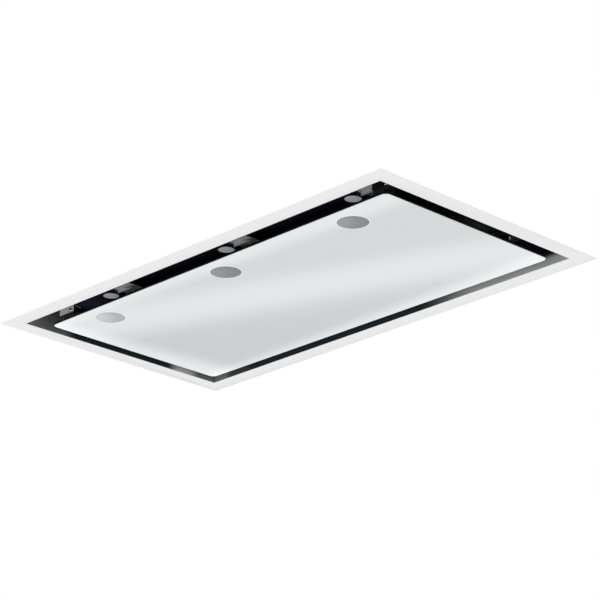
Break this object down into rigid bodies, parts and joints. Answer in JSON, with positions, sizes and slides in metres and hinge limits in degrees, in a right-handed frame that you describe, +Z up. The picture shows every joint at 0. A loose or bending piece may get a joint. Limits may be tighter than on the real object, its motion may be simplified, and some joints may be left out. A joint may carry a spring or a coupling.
{
  "type": "ceiling range hood",
  "caption": "Ceiling range hood: white panel with perimeter suction slots, round lamp windows, recessed filters and a blower in a steel casing.",
  "frame": {"origin": "centre of the flange in the plane of the ceiling, where the flange's upper face lies against it", "axes": "+Z up into the ceiling; +X along the long sides; -Y towards the long side where the lamps are"},
  "size_m": [0.9, 0.5, 0.3089],
  "materials": {
    "flange_paint": "white powder coat, satin",
    "panel_glass": "white back-painted glass, glossy, opaque",
    "window_frost": "frosted, grey when unlit",
    "recess_steel": "satin at its foot, black paint above",
    "casing_steel": "galvanised, satin",
    "roof_paint": "blue-black, satin",
    "bright_steel": "zinc plated",
    "black_paint": "black, satin",
    "rail_paint": "blue-black, satin",
    "filter_frame": "dark anodised, satin",
    "filter_mesh": "fine expanded mesh, satin",
    "latch_plastic": "black",
    "lamp_body": "black anodised, satin",
    "lamp_lens": "frosted, unlit",
    "magnet_case": "black",
    "scroll_plastic": "dark grey",
    "impeller_plastic": "grey",
    "motor_paint": "black",
    "rubber": "black",
    "duct_plastic": "dark grey",
    "flap_plastic": "grey",
    "box_plastic": "light grey",
    "driver_case": "white",
    "capacitor_can": "plain",
    "gland_plastic": "black",
    "screw_steel": "zinc plated"
  },
  "bodies": {
    "housing": {"ceiling_frame": "flange_paint", "suction_liner": "recess_steel", "roof_plate": "roof_paint", "casing_near": "casing_steel", "casing_far": "casing_steel", "casing_left": "casing_steel", "casing_right": "casing_steel", "top_cover": "casing_steel", "filter_rail_near": "rail_paint", "filter_rail_far": "rail_paint", "filter_frame_left": "filter_frame", "filter_frame_right": "filter_frame", "filter_mesh_left": "filter_mesh", "filter_mesh_right": "filter_mesh", "lamp_body_left": "lamp_body", "lamp_body_centre": "lamp_body", "lamp_body_right": "lamp_body", "lamp_lens_left": "lamp_lens", "lamp_lens_centre": "lamp_lens", "lamp_lens_right": "lamp_lens", "lamp_bracket_left": "bright_steel", "lamp_bracket_centre": "bright_steel", "lamp_bracket_right": "bright_steel", "lamp_driver": "driver_case", "control_box": "box_plastic", "control_box_lid": "box_plastic", "capacitor": "capacitor_can", "cable_gland": "gland_plastic", "hanging_brackets": "bright_steel", "scroll_left": "scroll_plastic", "scroll_right": "scroll_plastic", "motor_body": "motor_paint", "motor_bracket": "bright_steel", "motor_grommets": "rubber", "outlet_spigot": "duct_plastic", "damper_spindle": "bright_steel", "magnet_catch_left": "bright_steel", "magnet_catch_right": "black_paint", "catch_magnets": "magnet_case", "hinge_bracket_left": "bright_steel", "hinge_bracket_right": "bright_steel", "hinge_pins": "screw_steel", "recess_screws": "screw_steel", "cover_screws": "screw_steel"},
    "suction_panel": {"panel_glass": "panel_glass", "panel_pan": "black_paint", "lamp_window_left": "window_frost", "lamp_window_centre": "window_frost", "lamp_window_right": "window_frost", "hinge_leaf_left": "bright_steel", "hinge_leaf_right": "bright_steel", "strike_plates": "bright_steel", "leaf_screws": "screw_steel"},
    "fan_rotor": {"impeller": "impeller_plastic", "motor_shaft": "screw_steel"},
    "damper_near": {"damper_flap_near": "flap_plastic"},
    "damper_far": {"damper_flap_far": "flap_plastic"},
    "latch_left": {"filter_latch_left": "latch_plastic"},
    "latch_right": {"filter_latch_right": "latch_plastic"}
  },
  "joints": [
    {"name": "panel_hinge", "type": "hinge", "parent": "housing", "child": "suction_panel", "pos_m": [0, 0.184, 0.0161], "axis": [1, 0, 0], "range_deg": [0, 90]},
    {"name": "fan_spin", "type": "hinge", "parent": "housing", "child": "fan_rotor", "pos_m": [0, -0.036, 0.164], "axis": [1, 0, 0], "continuous": true},
    {"name": "damper_far_hinge", "type": "hinge", "parent": "housing", "child": "damper_far", "pos_m": [0, 0.0365, 0.2712], "axis": [1, 0, 0], "range_deg": [0, 75]},
    {"name": "damper_near_hinge", "type": "hinge", "parent": "housing", "child": "damper_near", "pos_m": [0, 0.0365, 0.2712], "axis": [-1, 0, 0], "range_deg": [0, 75]},
    {"name": "filter_latch_left_slide", "type": "slide", "parent": "housing", "child": "latch_left", "axis": [0, 1, 0], "range_m": [0, 0.006], "stiffness_N_per_m": 500, "springref_m": -0.004},
    {"name": "filter_latch_right_slide", "type": "slide", "parent": "housing", "child": "latch_right", "axis": [0, 1, 0], "range_m": [0, 0.006], "stiffness_N_per_m": 500, "springref_m": -0.004}
  ]
}
